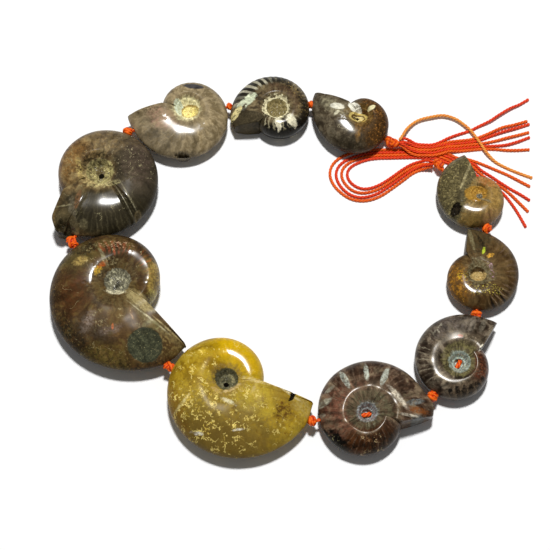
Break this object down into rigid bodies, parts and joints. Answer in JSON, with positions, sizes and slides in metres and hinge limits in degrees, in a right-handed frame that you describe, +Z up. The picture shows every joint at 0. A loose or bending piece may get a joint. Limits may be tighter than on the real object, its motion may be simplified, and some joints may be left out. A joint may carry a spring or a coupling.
{
  "type": "ammonite fossil bead strand",
  "caption": "Strand of graduated, polished whole ammonite fossils, drilled edge to edge and strung on a knotted orange thread with a folded loop and loose tails, laid flat in a ring.",
  "frame": {"origin": "on the surface the strand lies on, under the middle of the box round the shells and knots", "axes": "+Z up from the surface, +X to the right of the ring, the side on which the loose tails leave, +Y to the side of the ring on which the string starts"},
  "size_m": [0.18, 0.1487, 0.0155],
  "materials": {
    "ammonite_01": "polished, grey-brown with silver and cream nacre",
    "ammonite_02": "polished, dark brown with pale ribs and a calcite-filled umbilicus",
    "ammonite_03": "polished, olive grey ribs with a gold umbilicus",
    "ammonite_04": "polished, olive gold to dark grey with paired grooves",
    "ammonite_05": "polished, mahogany and amber with a granular grey matrix patch",
    "ammonite_06": "polished, golden yellow to olive with suture lines",
    "ammonite_07": "polished, dark copper ribs with nacre at the umbilicus",
    "ammonite_08": "polished, metallic grey brown with silver nacre",
    "ammonite_09": "polished, amber brown with dark ribs",
    "ammonite_10": "half rough grey matrix, half polished amber",
    "thread": "matt twisted thread, orange"
  },
  "bodies": {
    "root": {"ammonite_01": "ammonite_01", "ammonite_02": "ammonite_02", "ammonite_03": "ammonite_03", "ammonite_04": "ammonite_04", "ammonite_05": "ammonite_05", "ammonite_06": "ammonite_06", "ammonite_07": "ammonite_07", "ammonite_08": "ammonite_08", "ammonite_09": "ammonite_09", "ammonite_10": "ammonite_10", "thread_in_01": "thread", "thread_in_02": "thread", "thread_in_03": "thread", "thread_in_04": "thread", "thread_in_05": "thread", "thread_in_06": "thread", "thread_in_07": "thread", "thread_in_08": "thread", "thread_in_09": "thread", "thread_in_10": "thread", "knot_00": "thread", "knot_01": "thread", "knot_02": "thread", "knot_03": "thread", "knot_04": "thread", "knot_05": "thread", "knot_06": "thread", "knot_07": "thread", "knot_08": "thread", "knot_09": "thread", "knot_10": "thread", "tail_start_1": "thread", "tail_start_2": "thread", "tail_start_3": "thread", "tail_start_4": "thread", "tail_start_5": "thread", "tail_start_6": "thread", "tail_start_7": "thread", "tail_end_1": "thread", "tail_end_2": "thread", "tail_end_3": "thread", "tail_end_4": "thread"}
  },
  "joints": []
}
